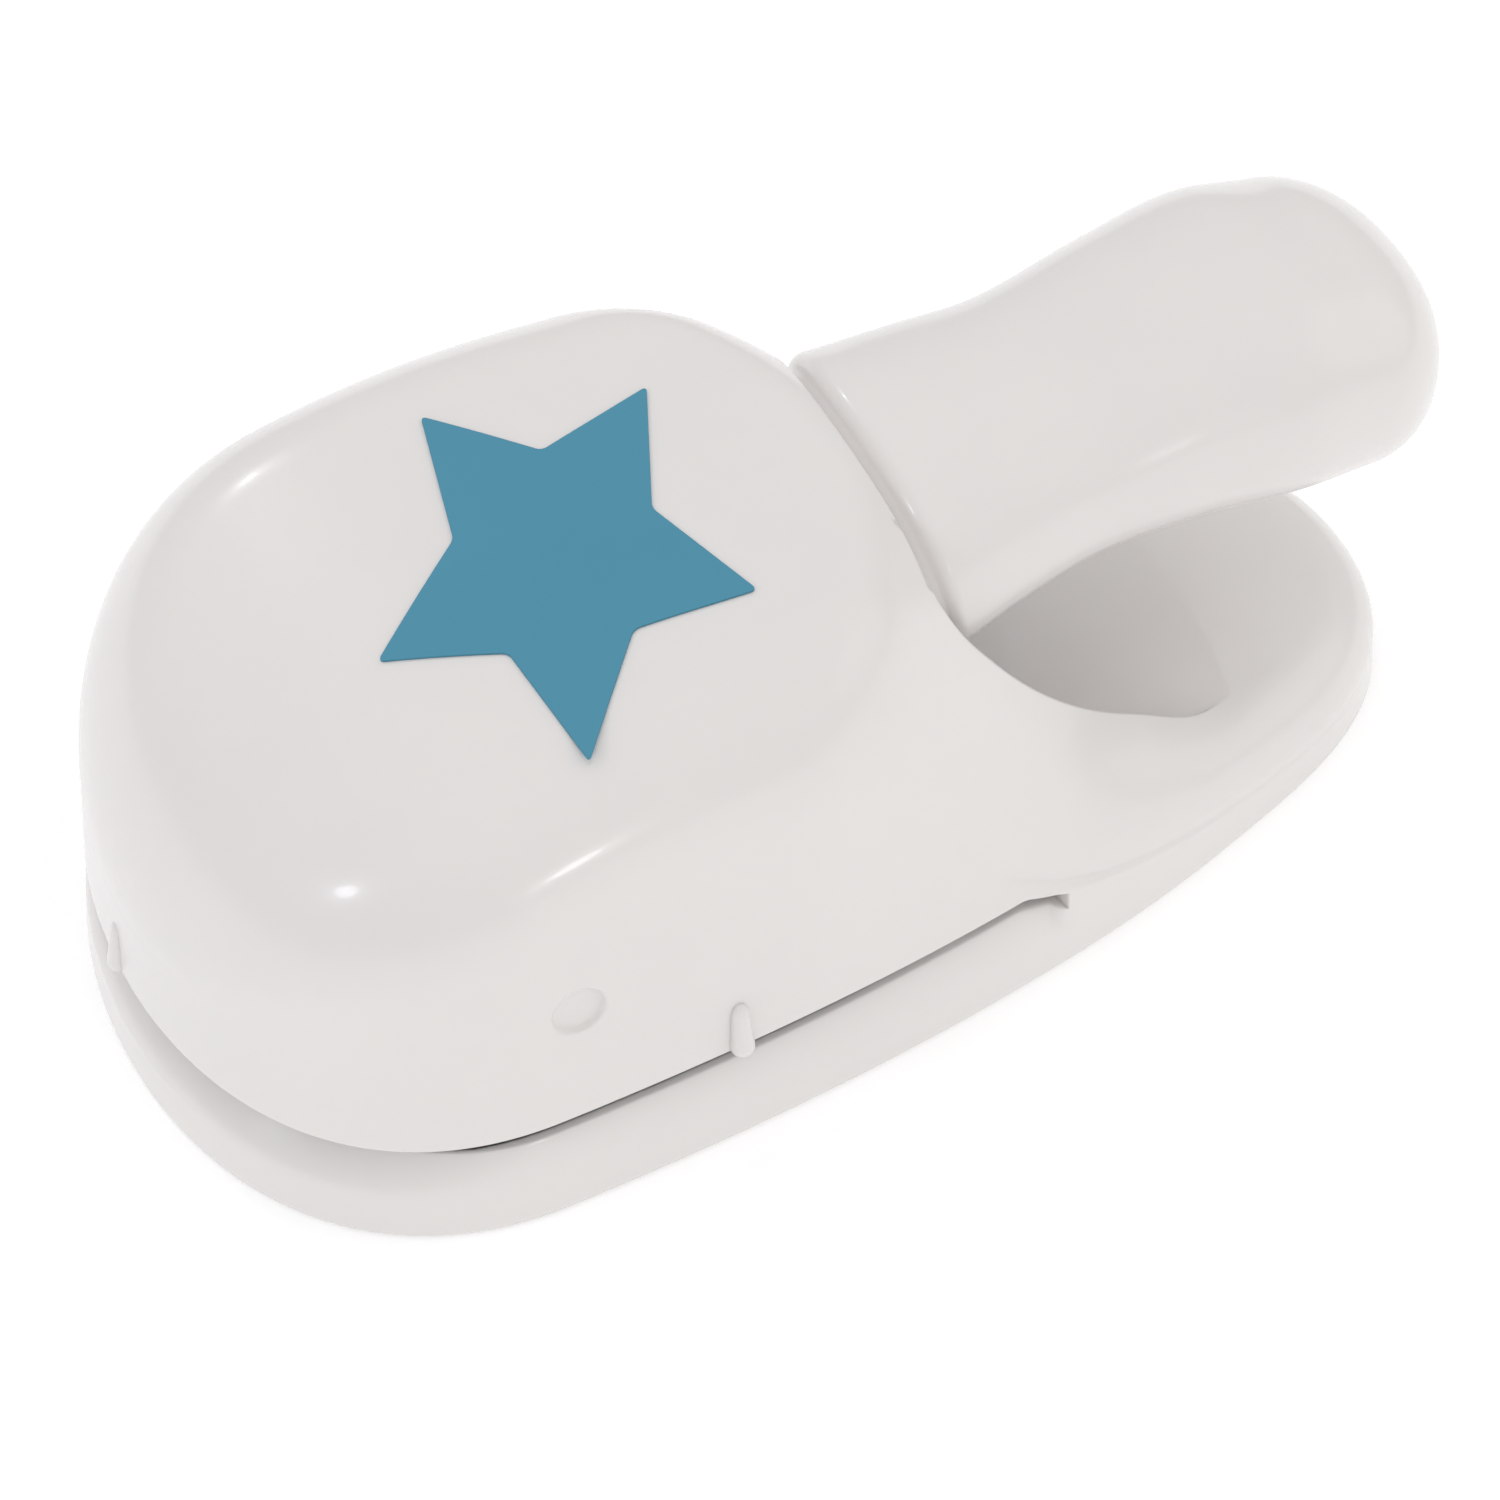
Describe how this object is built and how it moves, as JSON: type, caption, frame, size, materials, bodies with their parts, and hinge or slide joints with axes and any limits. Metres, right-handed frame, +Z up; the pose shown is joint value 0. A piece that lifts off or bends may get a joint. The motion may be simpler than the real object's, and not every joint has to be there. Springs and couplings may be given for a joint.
{
  "type": "craft punch",
  "caption": "Lever craft punch that cuts a paper star, with a tall rounded head, a low scooped tail, a sprung handle and a star label on top.",
  "frame": {"origin": "on the surface the punch stands on, under the middle of its whole length, handle included", "axes": "+Z up, +Y from the nose to the handle, +X to the right seen from behind the handle"},
  "size_m": [0.084, 0.1604, 0.0635],
  "materials": {
    "white_plastic": "glossy warm white ABS",
    "cover_plastic": "fine matte off-white",
    "label": "flat printed film, blue",
    "carrier_plastic": "grey acetal",
    "spring_steel": "drawn spring wire",
    "steel": "ground and nickel plated steel"
  },
  "bodies": {
    "body": {"axle_clip_left": "steel", "axle_clip_right": "steel", "axle_keeper_left": "cover_plastic", "axle_keeper_right": "cover_plastic", "bottom_cover": "cover_plastic", "cover_screw_front_left": "steel", "cover_screw_front_right": "steel", "cover_screw_rear_left": "steel", "cover_screw_rear_right": "steel", "cover_screw_tail": "steel", "die_plate": "steel", "die_screw_left": "steel", "die_screw_right": "steel", "guide_plate": "steel", "guide_post_front_left": "steel", "guide_post_front_right": "steel", "guide_post_rear_left": "steel", "guide_post_rear_right": "steel", "housing": "white_plastic", "motif_label": "label", "paper_stop": "steel", "pivot_axle": "steel", "return_spring_front_left": "spring_steel", "return_spring_front_right": "spring_steel", "return_spring_rear_left": "spring_steel", "return_spring_rear_right": "spring_steel"},
    "lever": {"lever": "white_plastic", "lever_cover": "white_plastic", "lever_screw_front": "steel", "lever_screw_rear": "steel", "press_bar": "steel"},
    "punch": {"punch_blade": "steel", "punch_carrier": "carrier_plastic", "punch_screw_front": "steel", "punch_screw_rear": "steel", "wear_pad": "steel"}
  },
  "joints": [
    {"name": "lever_hinge", "type": "hinge", "parent": "body", "child": "lever", "pos_m": [0, -0.04124, 0.03], "axis": [-1, 0, 0], "range_deg": [0, 10.5], "stiffness_Nm_per_rad": 0.4, "springref_deg": -34.38},
    {"name": "punch_slide", "type": "slide", "parent": "body", "child": "punch", "axis": [0, 0, -1], "range_m": [0, 0.0034], "deforming": ["return_spring_front_left", "return_spring_front_right", "return_spring_rear_left", "return_spring_rear_right"]}
  ],
  "couplings": [
    {"joint": "punch_slide", "follows": "lever_hinge", "m_per_rad": 0.018}
  ]
}
